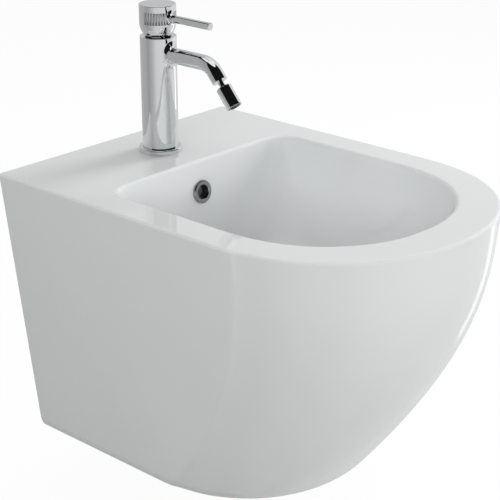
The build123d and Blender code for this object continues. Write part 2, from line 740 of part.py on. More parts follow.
def make_spindle():
    """Flat-headed spindle of the handle, its ball end in the disc carrier."""
    low = TOP_Z + SPINDLE_BLADE_FOOT
    top = TOP_Z + HANDLE_TOP - HANDLE_TOP_T - SPINDLE_GAP
    half = SPINDLE_WIDTH / 2
    deep = SPINDLE_DEPTH / 2
    body = block(-half, half, TAP_Y - deep, TAP_Y + deep, low, top)
    body += rod(SPINDLE_STEM_R, SPINDLE_BALL_Z, low + 1, 0, TAP_Y)
    body += Pos(0, TAP_Y, SPINDLE_BALL_Z) * Sphere(SPINDLE_BALL_R)
    bore = Rot(0, 90, 0) * Cylinder(PIVOT_PIN_R + PIN_RUNNING, 2 * SPINDLE_WIDTH)
    return body - Pos(0, TAP_Y, PIVOT_Z) * bore


def knurl_groove(angle):
    """One upright groove of the gripping band, square to the handle's side."""
    width = pi * HANDLE_R / KNURL_COUNT * KNURL_FILL
    tool = Box(2 * KNURL_DEPTH, width, KNURL_TOP - KNURL_BASE)
    middle = TOP_Z + (KNURL_TOP + KNURL_BASE) / 2
    return Pos(0, TAP_Y, middle) * Rot(0, 0, angle) * Pos(HANDLE_R, 0, 0) * tool


def make_handle():
    """Cast handle: round cap with a spherical belly, lever and half-round grip band."""
    top = TOP_Z + HANDLE_TOP
    belly = Pos(0, TAP_Y, PIVOT_Z) * Sphere(HANDLE_R)
    keep = rod(HANDLE_R + 1, TOP_Z + HANDLE_FOOT, PIVOT_Z, 0, TAP_Y)
    body = (belly & keep) + rod(HANDLE_R, PIVOT_Z, top, 0, TAP_Y)
    tip = TAP_Y - LEVER_REACH
    middle = (tip + TAP_Y) / 2
    lever = Rot(90, 0, 0) * Cylinder(LEVER_R, LEVER_REACH)
    lever = Pos(0, middle, TOP_Z + LEVER_HEIGHT) * lever
    body += lever
    root = body.edges().filter_by(GeomType.BSPLINE)
    body = fillet(root, LEVER_FILLET_R)
    rims = body.edges().filter_by(GeomType.CIRCLE)
    body = fillet(rims.sort_by(Axis.Z)[-1], HANDLE_EDGE_R)
    body = fillet(body.edges().filter_by(GeomType.CIRCLE).sort_by(Axis.Y)[0], LEVER_EDGE_R)
    inner_r = HANDLE_R - HANDLE_WALL
    roof = top - HANDLE_TOP_T
    cavity = rod(inner_r, PIVOT_Z, roof, 0, TAP_Y)
    cavity += Pos(0, TAP_Y, PIVOT_Z) * Sphere(inner_r)
    cavity += rod(HANDLE_MOUTH_R, TOP_Z + HANDLE_FOOT - 1, PIVOT_Z, 0, TAP_Y)
    cavity -= rod(inner_r + 1, roof, roof + inner_r, 0, TAP_Y)
    cavity -= rod(SPINDLE_BOSS_R, roof - SPINDLE_BOSS_LENGTH, roof + 1, 0, TAP_Y)
    body -= cavity
    half = SPINDLE_WIDTH / 2
    deep = SPINDLE_DEPTH / 2
    slot_foot = roof - SPINDLE_BOSS_LENGTH - 1
    body -= block(-half, half, TAP_Y - deep, TAP_Y + deep, slot_foot, roof)
    grub = Pos(0, TAP_Y + HANDLE_R / 2 + deep, TOP_Z + GRUB_HEIGHT) * Rot(90, 0, 0)
    body -= grub * Cylinder(GRUB_R, HANDLE_R)
    pitch = 180.0 / KNURL_COUNT
    for i in range(KNURL_COUNT):
        angle = -180.0 + pitch * (i + 0.5)
        if abs(angle + 90.0) > pitch:
            body -= knurl_groove(angle)
    return body


def make_grub_screw():
    """Socket grub screw at the back of the handle, tight on the spindle."""
    start = TAP_Y + SPINDLE_DEPTH / 2
    screw = Pos(0, start + GRUB_LENGTH / 2, TOP_Z + GRUB_HEIGHT) * Rot(90, 0, 0)
    body = screw * Cylinder(GRUB_R, GRUB_LENGTH)
    socket = Plane(origin=(0, start + GRUB_LENGTH, TOP_Z + GRUB_HEIGHT), z_dir=(0, -1, 0))
    hexagon = RegularPolygon(GRUB_SOCKET / 2, 6, major_radius=False)
    return body - extrude(socket * hexagon, amount=GRUB_SOCKET)


def outlet_place(depth):
    """Place on the outlet's axis, a distance beyond the spout's mouth."""
    return spout_end() * Pos(0, 0, depth)


def span(radius, start, end):
    """Cylinder along the outlet's axis between two depths from the spout's mouth."""
    return outlet_place((start + end) / 2) * Cylinder(radius, end - start)


def outlet_ball(radius):
    """Sphere about the centre of the swivel ball."""
    return outlet_place(NECK_LENGTH + BALL_DEPTH) * Sphere(radius)


def make_ball_stem():
    """Stem screwed into the spout, ending in the drilled swivel ball."""
    centre = NECK_LENGTH + BALL_DEPTH
    body = span(SPOUT_BORE_R, -STEM_ENTRY, 0) + span(NECK_R, 0, centre)
    body += outlet_ball(BALL_R)
    return body - span(STEM_BORE_R, -STEM_ENTRY - 1, centre + BALL_R + 1)


def neck_room(height):
    """Radius that the tilted neck needs at a height above the ball's centre."""
    tilt = radians(AERATOR_TILT)
    return height * tan(tilt) + NECK_R / cos(tilt) + NECK_CLEARANCE


def make_swivel_cap():
    """Upper ring of the swivel, coned inside so that the neck can tilt."""
    top = NECK_LENGTH
    seam = NECK_LENGTH + BALL_DEPTH
    body = span(HOUSING_R, top, seam)
    rims = body.edges().filter_by(GeomType.CIRCLE)
    body = chamfer(rims.sort_by(Axis.Z)[-1], HOUSING_EDGE_R)
    cone = outlet_place(top + CAP_COLLAR_START / 2)
    mouth = neck_room(BALL_DEPTH)
    throat = neck_room(BALL_DEPTH - CAP_COLLAR_START)
    body -= cone * Cone(mouth, throat, CAP_COLLAR_START)
    body -= outlet_ball(BALL_R + BALL_GAP)
    return body - span(CAP_COLLAR_R, top + CAP_COLLAR_START, seam + 1)


def make_aerator_housing():
    """Lower barrel of the swivel, with the seal's seat and the aerator's bore."""
    top = NECK_LENGTH
    seam = top + BALL_DEPTH
    end = top + HOUSING_LENGTH
    body = span(HOUSING_R, seam, end) + span(CAP_COLLAR_R, top + CAP_COLLAR_START, seam)
    body -= outlet_ball(BALL_R + BALL_GAP)
    seat = outlet_ball(SEAL_OUTER_R + BALL_GAP)
    body -= seat & span(HOUSING_R, seam + SEAL_SEAT_START, end)
    body -= span(HOUSING_THROAT_R, seam, end)
    body -= span(INSERT_R + INSERT_CLEARANCE, top + INSERT_START - INSERT_GASKET_T, end + 1)
    notch = Box(NOTCH_WIDTH, 4 * HOUSING_R, 2 * NOTCH_DEPTH)
    return body - outlet_place(end) * notch


def make_swivel_seal():
    """Rubber ring of spherical section between the ball and its housing."""
    seam = NECK_LENGTH + BALL_DEPTH
    shell = outlet_ball(SEAL_OUTER_R) - outlet_ball(BALL_R + SEAL_FIT)
    return shell & span(HOUSING_R, seam + SEAL_START, seam + SEAL_END)


def make_aerator_gasket():
    """Flat rubber ring above the aerator."""
    start = NECK_LENGTH + INSERT_START - INSERT_GASKET_T
    outer = span(INSERT_R, start, start + INSERT_GASKET_T)
    return outer - span(HOUSING_THROAT_R, start - 1, start + INSERT_GASKET_T + 1)


def make_aerator_insert():
    """Plastic aerator: a cup whose face is pierced in a honeycomb of round holes."""
    start = NECK_LENGTH + INSERT_START
    end = NECK_LENGTH + HOUSING_LENGTH - INSERT_RECESS
    body = span(INSERT_R, start, end)
    body -= span(INSERT_R - INSERT_WALL, start - 1, end - INSERT_FACE_T)
    reach = INSERT_R - INSERT_WALL - INSERT_HOLE_R
    for i in range(-INSERT_ROWS, INSERT_ROWS + 1):
        for j in range(-INSERT_ROWS, INSERT_ROWS + 1):
            x = INSERT_PITCH * (i + j / 2)
            y = INSERT_PITCH * j * sqrt(3) / 2
            if sqrt(x * x + y * y) <= reach:
                hole = Cylinder(INSERT_HOLE_R, 4 * INSERT_FACE_T)
                body -= outlet_place(end) * Pos(x, y, 0) * hole
    return body


def make_waste_seal():
    """Rubber ring between the waste's flange and its seat in the bowl."""
    low = FLOOR_Z - WASTE_SEAT_T
    inner = WASTE_HOLE_R + WASTE_SEAL_CLEARANCE
    return ring(FLANGE_R, inner, low, low + WASTE_SEAL_T, 0, WASTE_Y)


def make_waste_body():
    """Flanged and threaded waste tube with overflow slots and the guide of the plug."""
    low = FLOOR_Z - WASTE_SEAT_T + WASTE_SEAL_T
    body = rod(FLANGE_R, low, low + FLANGE_T, 0, WASTE_Y)
    body = chamfer(body.edges().sort_by(Axis.Z)[-1], FLANGE_CHAMFER)
    body += rod(TUBE_R, low - TUBE_LENGTH, low, 0, WASTE_Y)
    body -= rod(TUBE_R - TUBE_WALL, low - TUBE_LENGTH - 1, low + FLANGE_T + 1, 0, WASTE_Y)
    relief_top = BOSS_FOOT_Z - WASTE_GASKET_T - WASTE_WASHER_T - WASTE_NUT_T
    body -= ring(TUBE_R + 1, TUBE_R - RELIEF_DEPTH, relief_top - RELIEF_WIDTH, relief_top, 0, WASTE_Y)
    for i in range(SLOT_COUNT):
        slot = Pos(0, TUBE_R, BOSS_SLOT_Z) * Box(SLOT_WIDTH, 2 * TUBE_R, SLOT_HEIGHT)
        body -= Pos(0, WASTE_Y, 0) * Rot(0, 0, 360.0 / SLOT_COUNT * i) * slot
    return body


def make_waste_guide():
    """Three-armed bridge that holds the click capsule in the waste tube."""
    high = FLOOR_Z - GUIDE_DROP
    low = high - GUIDE_T
    body = ring(TUBE_R - TUBE_WALL, TUBE_R - 2 * TUBE_WALL, low, high, 0, WASTE_Y)
    body += rod(GUIDE_HUB_R, low, high, 0, WASTE_Y)
    reach = TUBE_R - 1.5 * TUBE_WALL
    for i in range(3):
        arm = Pos(reach / 2, 0, (low + high) / 2) * Box(reach, GUIDE_ARM, GUIDE_T)
        body += Pos(0, WASTE_Y, 0) * Rot(0, 0, 120.0 * i + 30.0) * arm
    return body


def make_click_capsule():
    """Closed barrel on the bridge that guides the plug's stem."""
    low = FLOOR_Z - GUIDE_DROP
    high = low + CAPSULE_LENGTH
    body = rod(CAPSULE_R, low, high, 0, WASTE_Y)
    body -= rod(CAPSULE_BORE_R, low + CAPSULE_FLOOR_T, high - CAPSULE_ROOF_T, 0, WASTE_Y)
    bore = rod(PLUG_STEM_R + STEM_RUNNING, high - CAPSULE_ROOF_T - 1, high + 1, 0, WASTE_Y)
    return body - bore


def stem_foot():
    """Height of the stem's head when the plug is shut."""
    return FLOOR_Z - GUIDE_DROP + CAPSULE_LENGTH - CAPSULE_ROOF_T - PLUG_TRAVEL - STEM_TOP_GAP


def make_click_spring():
    """Coil spring that lifts the plug, from the capsule's floor to the stem's head."""
    low = FLOOR_Z - GUIDE_DROP + CAPSULE_FLOOR_T
    high = stem_foot() - STEM_HEAD_T
    height = high - low - 2 * SPRING_WIRE_R
    radius = CAPSULE_BORE_R - SPRING_WIRE_R - ROTOR_GAP
    helix = Helix(pitch=height / SPRING_TURNS, height=height, radius=radius)
    section = RegularPolygon(SPRING_WIRE_R, 6)
    profile = Plane(origin=helix @ 0, z_dir=helix % 0) * section
    coil = sweep(profile, path=helix, is_frenet=True)
    return Pos(0, WASTE_Y, low + SPRING_WIRE_R) * coil


def make_plug_stem():
    """Stem of the plug, headed inside the capsule."""
    foot = stem_foot()
    body = rod(PLUG_STEM_R, foot, plug_base() + PLUG_SOCKET, 0, WASTE_Y)
    return body + rod(STEM_HEAD_R, foot - STEM_HEAD_T, foot, 0, WASTE_Y)


def plug_base():
    """Height of the plug's underside when shut."""
    return FLOOR_Z - WASTE_SEAT_T + WASTE_SEAL_T + FLANGE_T + PLUG_SEAL_T


def make_plug():
    """Round plug that covers the waste, slightly domed at its edge."""
    low = plug_base()
    body = rod(PLUG_R, low, low + PLUG_T, 0, WASTE_Y)
    body = fillet(body.edges().sort_by(Axis.Z)[-1], PLUG_EDGE_R)
    return body - rod(PLUG_STEM_R, low - 1, low + PLUG_SOCKET, 0, WASTE_Y)


def make_plug_seal():
    """Rubber ring under the plug that closes on the flange."""
    high = plug_base()
    inner = TUBE_R - TUBE_WALL + PLUG_SEAL_LAP
    return ring(PLUG_R - PLUG_SEAL_INSET, inner, high - PLUG_SEAL_T, high, 0, WASTE_Y)


def make_waste_gasket():
    """Tapered rubber ring under the ceramic boss."""
    low = BOSS_FOOT_Z - WASTE_GASKET_T
    taper = Pos(0, WASTE_Y, low + WASTE_GASKET_T / 2)
    body = taper * Cone(WASTE_NUT_R, WASTE_NUT_R + WASTE_GASKET_TAPER, WASTE_GASKET_T)
    return body - rod(TUBE_R + STUD_CLEARANCE, low - 1, BOSS_FOOT_Z + 1, 0, WASTE_Y)


def make_waste_washer():
    """Slip washer between the gasket and the nut."""
    high = BOSS_FOOT_Z - WASTE_GASKET_T
    return ring(WASTE_NUT_R, TUBE_R + STUD_CLEARANCE, high - WASTE_WASHER_T, high, 0, WASTE_Y)


def make_waste_nut():
    """Back nut of the waste, with grip lugs."""
    high = BOSS_FOOT_Z - WASTE_GASKET_T - WASTE_WASHER_T
    low = high - WASTE_NUT_T
    body = rod(WASTE_NUT_R, low, high, 0, WASTE_Y)
    for i in range(WASTE_NUT_LUGS):
        lug = Pos(WASTE_NUT_R, 0, (low + high) / 2) * Cylinder(WASTE_NUT_LUG_R, WASTE_NUT_T)
        body += Pos(0, WASTE_Y, 0) * Rot(0, 0, 360.0 / WASTE_NUT_LUGS * i) * lug
    return body - rod(TUBE_R, low - 1, high + 1, 0, WASTE_Y)


def main():
    """Builds and writes every piece."""
    under_deck = TOP_Z - DECK_T
    gasket_foot = under_deck - CLAMP_GASKET_T
    write(make_basin(), "basin")
    write(make_sleeves(), "fixing_sleeves")
    write(make_washers(), "fixing_washers")
    write(make_overflow_ring(), "overflow_ring")
    write(make_waste_body(), "waste_body")
    write(make_waste_seal(), "waste_seal")
    write(make_waste_guide(), "waste_guide")
    write(make_waste_gasket(), "waste_gasket")
    write(make_waste_washer(), "waste_washer")
    write(make_waste_nut(), "waste_nut")
    write(make_click_capsule(), "click_capsule")
    write(make_click_spring(), "click_spring")
    write(make_plug_stem(), "plug_stem")
    write(make_plug(), "waste_plug")
    write(make_plug_seal(), "plug_seal")
    write(make_base_ring(), "tap_base_ring")
    write(make_base_gasket(), "base_gasket")
    write(make_tap_body(), "tap_body")
    write(make_stud(), "tap_stud")
    write(clamp_plate(gasket_foot, under_deck), "horseshoe_gasket")
    write(clamp_plate(gasket_foot - CLAMP_PLATE_T, gasket_foot), "horseshoe_washer")
    write(make_stud_nut(), "stud_nut")
    write(make_cartridge_housing(), "cartridge_housing")
    write(make_fixed_disc(), "fixed_disc")
    write(make_moving_disc(), "moving_disc")
    write(make_disc_carrier(), "disc_carrier")
    write(make_cartridge_nut(), "cartridge_nut")
    write(make_rotor(), "cartridge_rotor")
    write(make_pivot_pin(), "pivot_pin")
    write(make_spindle(), "spindle")
    write(make_handle(), "lever_handle")
    write(make_grub_screw(), "handle_grub_screw")
    write(make_ball_stem(), "ball_stem")
    write(make_swivel_cap(), "swivel_cap")
    write(make_swivel_seal(), "swivel_seal")
    write(make_aerator_housing(), "aerator_housing")
    write(make_aerator_gasket(), "aerator_gasket")
    write(make_aerator_insert(), "aerator_insert")


if __name__ == "__main__":
    main()
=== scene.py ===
"""Looks of the wall-hung bidet and its mixer: finishes, fine meshes, studio and camera."""
import json
import logging
import math
from dataclasses import dataclass
from enum import Enum
from typing import ClassVar, Optional, Sequence

import bmesh
import bpy
from mathutils import Matrix, Vector


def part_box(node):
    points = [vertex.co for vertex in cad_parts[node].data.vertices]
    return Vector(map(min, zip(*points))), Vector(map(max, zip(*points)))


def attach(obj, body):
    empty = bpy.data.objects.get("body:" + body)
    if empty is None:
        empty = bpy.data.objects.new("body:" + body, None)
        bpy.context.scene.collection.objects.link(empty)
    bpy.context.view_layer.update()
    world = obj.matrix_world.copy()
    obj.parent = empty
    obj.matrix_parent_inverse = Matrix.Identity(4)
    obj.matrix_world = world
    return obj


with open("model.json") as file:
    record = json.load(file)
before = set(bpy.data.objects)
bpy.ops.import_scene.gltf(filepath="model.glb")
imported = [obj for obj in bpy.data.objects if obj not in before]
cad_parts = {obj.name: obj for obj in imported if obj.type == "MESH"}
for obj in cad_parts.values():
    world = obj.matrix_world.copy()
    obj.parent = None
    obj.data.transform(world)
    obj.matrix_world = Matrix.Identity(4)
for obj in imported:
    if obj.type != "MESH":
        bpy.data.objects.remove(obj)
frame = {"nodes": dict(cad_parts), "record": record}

log = logging.getLogger("bidet")
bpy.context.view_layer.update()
Point = tuple[float, float, float]
Colour = tuple[float, float, float]

WHITE = (1.0, 1.0, 1.0, 1.0)
MIX_FIRST_VALUE = 2
MIX_SECOND_VALUE = 3
MIX_FIRST_COLOUR = 6
MIX_SECOND_COLOUR = 7
MIX_COLOUR_RESULT = 2
NOISE_LOW = 0.3
NOISE_HIGH = 0.7
FULL_TURN = 360.0


class Slot(Enum):
    """Material slots of the record."""

    GLAZE = "glaze"
    CHROME = "chrome"
    BRASS = "brass"
    STEEL = "steel"
    RUBBER = "rubber"
    WHITE_PLASTIC = "white_plastic"
    DARK_PLASTIC = "dark_plastic"
    DISC_CERAMIC = "disc_ceramic"


class Graph:
    """Small helper around one node tree."""

    def __init__(self, tree: bpy.types.NodeTree) -> None:
        """Starts from an emptied tree.

        Args:
            tree: the tree of a material or of the world.
        """
        self.tree = tree
        self.tree.nodes.clear()

    def add(self, kind: str, **values: object) -> bpy.types.Node:
        """Adds a node and sets its named input sockets or properties.

        Args:
            kind: the node type without its ShaderNode prefix.
            values: socket names with underscores for spaces, or properties.

        Returns:
            The new node.
        """
        node = self.tree.nodes.new("ShaderNode" + kind)
        for key, value in values.items():
            socket = node.inputs.get(key.replace("_", " "))
            if socket is not None:
                socket.default_value = value
            else:
                setattr(node, key, value)
        return node

    def link(self, source: bpy.types.NodeSocket, target: bpy.types.NodeSocket) -> None:
        """Joins two sockets."""
        self.tree.links.new(source, target)

    def place(self) -> bpy.types.NodeSocket:
        """Returns the socket of the object's own coordinates, in metres."""
        return self.add("TexCoord").outputs["Object"]

    def noise(self, scale: float, detail: float = 3.0) -> bpy.types.NodeSocket:
        """Adds a noise pattern in object space.

        Args:
            scale: lumps per metre.
            detail: octaves.

        Returns:
            The factor socket.
        """
        node = self.add("TexNoise", Scale=scale, Detail=detail)
        self.link(self.place(), node.inputs["Vector"])
        return node.outputs["Fac"]

    def ramp(
        self, source: bpy.types.NodeSocket, low: float, high: float, start: float, end: float
    ) -> bpy.types.NodeSocket:
        """Maps a value from one range to another, clamped.

        Args:
            source: the value.
            low: value that gives start.
            high: value that gives end.
            start: first result.
            end: last result.

        Returns:
            The mapped value.
        """
        node = self.add("MapRange")
        limits = {"From Min": low, "From Max": high, "To Min": start, "To Max": end}
        for name, limit in limits.items():
            node.inputs[name].default_value = limit
        self.link(source, node.inputs["Value"])
        return node.outputs["Result"]

    def math(
        self,
        operation: str,
        first: bpy.types.NodeSocket,
        second: bpy.types.NodeSocket | float | None = None,
    ) -> bpy.types.NodeSocket:
        """Adds one step of arithmetic.

        Args:
            operation: the step's name.
            first: the first value.
            second: the second value, a socket or a plain number.

        Returns:
            The result.
        """
        node = self.add("Math", operation=operation)
        self.link(first, node.inputs[0])
        if isinstance(second, bpy.types.NodeSocket):
            self.link(second, node.inputs[1])
        elif second is not None:
            node.inputs[1].default_value = second
        return node.outputs[0]

    def blend(
        self,
        factor: bpy.types.NodeSocket,
        first: Colour | bpy.types.NodeSocket,
        second: Colour,
    ) -> bpy.types.NodeSocket:
        """Mixes two colours by a factor.

        Args:
            factor: the mixing value.
            first: colour at zero, a plain one or a socket.
            second: colour at one.

        Returns:
            The mixed colour.
        """
        node = self.add("Mix", data_type="RGBA")
        if isinstance(first, bpy.types.NodeSocket):
            self.link(first, node.inputs[MIX_FIRST_COLOUR])
        else:
            node.inputs[MIX_FIRST_COLOUR].default_value = (*first, 1.0)
        node.inputs[MIX_SECOND_COLOUR].default_value = (*second, 1.0)
        self.link(factor, node.inputs[0])
        return node.outputs[MIX_COLOUR_RESULT]


class SurfaceGraph(Graph):
    """The node tree of one material, with its output."""

    def __init__(self, name: str) -> None:
        """Makes the material.

        Args:
            name: the material's name.
        """
        self.material = bpy.data.materials.new(name)
        self.material.use_nodes = True
        super().__init__(self.material.node_tree)
        self.output = self.add("OutputMaterial")

    def finish(
        self,
        shader: bpy.types.Node,
        height: Optional[bpy.types.NodeSocket] = None,
        depth: float = 0.0,
    ) -> bpy.types.Material:
        """Connects the shader, with an optional bump, and returns the material.

        Args:
            shader: the surface shader.
            height: the bump's height.
            depth: the bump's distance in metres.

        Returns:
            The finished material.
        """
        if height is not None:
            bump = self.add("Bump", Distance=depth, Strength=1.0)
            self.link(height, bump.inputs["Height"])
            self.link(bump.outputs["Normal"], shader.inputs["Normal"])
        self.link(shader.outputs[0], self.output.inputs["Surface"])
        return self.material


@dataclass(frozen=True)
class GlazeFinish:
    """White sanitary glaze, left bare on the wall face and under the foot."""

    colour: Colour = (0.790, 0.805, 0.803)
    deep: Colour = (0.772, 0.790, 0.790)
    bare: Colour = (0.66, 0.64, 0.59)
    refraction: float = 1.52
    roughness: float = 0.05
    bare_roughness: float = 0.7
    tone_scale: float = 6.0
    tone_range: tuple[float, float] = (0.35, 0.65)
    wave_scale: float = 9.0
    wave_detail: float = 1.0
    wave_depth: float = 0.00005
    foot_level: float = -0.2536
    wall_level: float = -0.0006
    edge: float = 0.0004

    def material(self) -> bpy.types.Material:
        """Returns the glaze."""
        graph = SurfaceGraph("glaze")
        shader = graph.add("BsdfPrincipled", IOR=self.refraction)
        split = graph.add("SeparateXYZ")
        graph.link(graph.place(), split.inputs[0])
        wall, foot = self.wall_level, self.foot_level
        rear = graph.ramp(split.outputs["Y"], wall - self.edge, wall, 0.0, 1.0)
        under = graph.ramp(split.outputs["Z"], foot, foot + self.edge, 1.0, 0.0)
        bare = graph.math("MAXIMUM", rear, under)
        tone = graph.ramp(graph.noise(self.tone_scale), *self.tone_range, 0.0, 1.0)
        glazed = graph.blend(tone, self.colour, self.deep)
        graph.link(graph.blend(bare, glazed, self.bare), shader.inputs["Base Color"])
        rough = graph.ramp(bare, 0.0, 1.0, self.roughness, self.bare_roughness)
        graph.link(rough, shader.inputs["Roughness"])
        waves = graph.noise(self.wave_scale, self.wave_detail)
        return graph.finish(shader, waves, self.wave_depth)


@dataclass(frozen=True)
class MetalFinish:
    """Bare or plated metal with faint wiping marks."""

    name: str
    colour: Colour
    shade: Colour
    roughness: float
    spread: float
    mark_scale: float = 120.0
    mark_detail: float = 5.0

    def material(self) -> bpy.types.Material:
        """Returns the metal."""
        graph = SurfaceGraph(self.name)
        shader = graph.add("BsdfPrincipled", Metallic=1.0)
        marks = graph.noise(self.mark_scale, self.mark_detail)
        share = graph.ramp(marks, NOISE_LOW, NOISE_HIGH, 0.0, 1.0)
        graph.link(graph.blend(share, self.colour, self.shade), shader.inputs["Base Color"])
        least, most = self.roughness - self.spread, self.roughness + self.spread
        rough = graph.ramp(marks, NOISE_LOW, NOISE_HIGH, least, most)
        graph.link(rough, shader.inputs["Roughness"])
        return graph.finish(shader)


@dataclass(frozen=True)
class MouldedFinish:
    """Rubber, plastic or lapped ceramic with a fine grain."""

    name: str
    colour: Colour
    shade: Colour
    roughness: float
    grain_scale: float
    grain_depth: float
    grain_detail: float = 4.0

    def material(self) -> bpy.types.Material:
        """Returns the moulded material."""
        graph = SurfaceGraph(self.name)
        shader = graph.add("BsdfPrincipled", Roughness=self.roughness)
        grain = graph.noise(self.grain_scale, self.grain_detail)
        share = graph.ramp(grain, NOISE_LOW, NOISE_HIGH, 0.0, 1.0)
        graph.link(graph.blend(share, self.colour, self.shade), shader.inputs["Base Color"])
        return graph.finish(shader, grain, self.grain_depth)


# Darker copy of the chrome for the overflow ring: painted shade standing in for the dark
# surroundings that the ring reflects.
SHADED_RING_CHROME = MetalFinish("ring_chrome_painted_shade", (0.36, 0.37, 0.38), (0.31, 0.32, 0.33), 0.07, 0.02)
# Darker copy of the chrome for the ribbed grip: painted shade standing in for the shade that
# falls in the grooves between the ribs.
SHADED_GRIP_CHROME = MetalFinish("grip_chrome_painted_shade", (0.50, 0.51, 0.52), (0.46, 0.47, 0.48), 0.16, 0.03)
AGED_BRASS = MetalFinish("aged_brass", (0.15, 0.125, 0.09), (0.09, 0.08, 0.06), 0.45, 0.06)
FINISHES = {
    Slot.GLAZE: GlazeFinish(),
    Slot.CHROME: MetalFinish("chrome", (0.80, 0.81, 0.815), (0.78, 0.79, 0.80), 0.03, 0.008),
    Slot.BRASS: MetalFinish("brass", (0.74, 0.58, 0.30), (0.62, 0.47, 0.22), 0.26, 0.06),
    Slot.STEEL: MetalFinish("steel", (0.62, 0.62, 0.61), (0.52, 0.52, 0.52), 0.30, 0.07),
    Slot.RUBBER: MouldedFinish(
        "rubber", (0.03, 0.03, 0.03), (0.045, 0.045, 0.045), 0.62, 900.0, 0.00003
    ),
    Slot.WHITE_PLASTIC: MouldedFinish(
        "white_plastic", (0.80, 0.80, 0.77), (0.75, 0.75, 0.72), 0.38, 700.0, 0.00001
    ),
    Slot.DARK_PLASTIC: MouldedFinish(
        "dark_plastic", (0.045, 0.047, 0.05), (0.06, 0.062, 0.066), 0.36, 700.0, 0.00001
    ),
    Slot.DISC_CERAMIC: MouldedFinish(
        "disc_ceramic", (0.84, 0.82, 0.76), (0.80, 0.78, 0.72), 0.18, 500.0, 0.000004
    ),
}


class Palette:
    """Makes each finish once and hands it out by slot."""

    def __init__(self) -> None:
        """Starts with no material made."""
        self.made: dict[str, bpy.types.Material] = {}

    def get(self, slot: Slot, special: Optional[MetalFinish] = None) -> bpy.types.Material:
        """Returns a finish, made at its first use.

        Args:
            slot: the material slot.
            special: a finish that takes the slot's place on one piece.

        Returns:
            The material.
        """
        finish = special or FINISHES[slot]
        key = special.name if special else slot.value
        if key not in self.made:
            self.made[key] = finish.material()
        return self.made[key]

    def dress(self, node: str, slot: Slot, special: Optional[MetalFinish] = None) -> None:
        """Gives a CAD node its finish.

        Args:
            node: the node's name.
            slot: its material slot.
            special: a finish that takes the slot's place.
        """
        data = frame["nodes"][node].data
        data.materials.clear()
        data.materials.append(self.get(slot, special))


class Sculptor:
    """Turns grids of points into smooth meshes in the scene."""

    @staticmethod
    def grid(
        name: str, rows: Sequence[Sequence[Point]], material: bpy.types.Material
    ) -> bpy.types.Object:
        """Builds one object from rows of points, joined as quads.

        Args:
            name: the object's name.
            rows: equal rows of points in metres.
            material: its finish.

        Returns:
            The new object.
        """
        mesh = bmesh.new()
        made = [[mesh.verts.new(point) for point in row] for row in rows]
        for lower, upper in zip(made, made[1:]):
            for i in range(len(lower) - 1):
                mesh.faces.new((lower[i], lower[i + 1], upper[i + 1], upper[i]))
        bmesh.ops.recalc_face_normals(mesh, faces=mesh.faces)
        data = bpy.data.meshes.new(name)
        mesh.to_mesh(data)
        mesh.free()
        data.polygons.foreach_set("use_smooth", [True] * len(data.polygons))
        data.materials.append(material)
        piece = bpy.data.objects.new(name, data)
        bpy.context.scene.collection.objects.link(piece)
        return piece


@dataclass(frozen=True)
class Helix:
    """A screw thread's ridge: where it runs upward and how it is cut."""

    centre: tuple[float, float]
    start: float
    end: float
    root: float
    crest: float
    pitch: float
    flank: float = 0.42
    steps: int = 28

    def rows(self) -> list[list[Point]]:
        """Returns the ridge as rows of root, crest and root points along the helix."""
        count = round((self.end - self.start) / self.pitch * self.steps)
        rows = []
        for i in range(count + 1):
            turn = math.tau * i / self.steps
            level = self.start + self.pitch * i / self.steps
            fade = min(1.0, i / self.steps, (count - i) / self.steps)
            crest = self.root + (self.crest - self.root) * fade
            row = []
            for drop, radius in ((-self.flank, self.root), (0.0, crest), (self.flank, self.root)):
                x = self.centre[0] + radius * math.cos(turn)
                y = self.centre[1] + radius * math.sin(turn)
                row.append((x, y, level + drop * self.pitch))
            rows.append(row)
        return rows


@dataclass
class SubAssembly:
    """Pieces that share a job: which CAD nodes they are and what each is made of."""

    palette: Palette
    slots: dict[str, Slot]

    NODES: ClassVar[tuple[str, ...]] = ()
    SPECIAL: ClassVar[dict[str, MetalFinish]] = {}

    def build(self) -> None:
        """Adds this sub-assembly's fine meshes, none by default."""

    def dress(self) -> None:
        """Gives every node of the sub-assembly its finish."""
        for node in self.NODES:
            self.palette.dress(node, self.slots[node], self.SPECIAL.get(node))
            log.info("%s: %s in %s", type(self).__name__, node, self.slots[node].value)


@dataclass
class Ceramic(SubAssembly):
    """The glazed casting that everything else hangs on."""

    NODES: ClassVar[tuple[str, ...]] = ("basin",)


@dataclass
class WallFixings(SubAssembly):
    """Sleeves and washers round the two wall studs."""

    NODES: ClassVar[tuple[str, ...]] = ("fixing_sleeves", "fixing_washers")


@dataclass
class Overflow(SubAssembly):
    """Metal ring lining the overflow hole."""

    NODES: ClassVar[tuple[str, ...]] = ("overflow_ring",)
    # The overflow ring takes the darker chrome, painted shade.
    SPECIAL: ClassVar[dict[str, MetalFinish]] = {"overflow_ring": SHADED_RING_CHROME}


@dataclass
class WasteFitting(SubAssembly):
    """Flanged tube, its guide, seals and nut, and the click mechanism."""

    NODES: ClassVar[tuple[str, ...]] = (
        "waste_body",
        "waste_seal",
        "waste_guide",
        "waste_gasket",
        "waste_washer",
        "waste_nut",
        "click_capsule",
        "click_spring",
    )


@dataclass
class Plug(SubAssembly):
    """Domed plug on its stem, pushed down to click."""

    NODES: ClassVar[tuple[str, ...]] = ("waste_plug", "plug_stem", "plug_seal")


@dataclass
class TapBody(SubAssembly):
    """Column with its spout, and the ring that it stands on."""

    NODES: ClassVar[tuple[str, ...]] = ("tap_base_ring", "base_gasket", "tap_body")


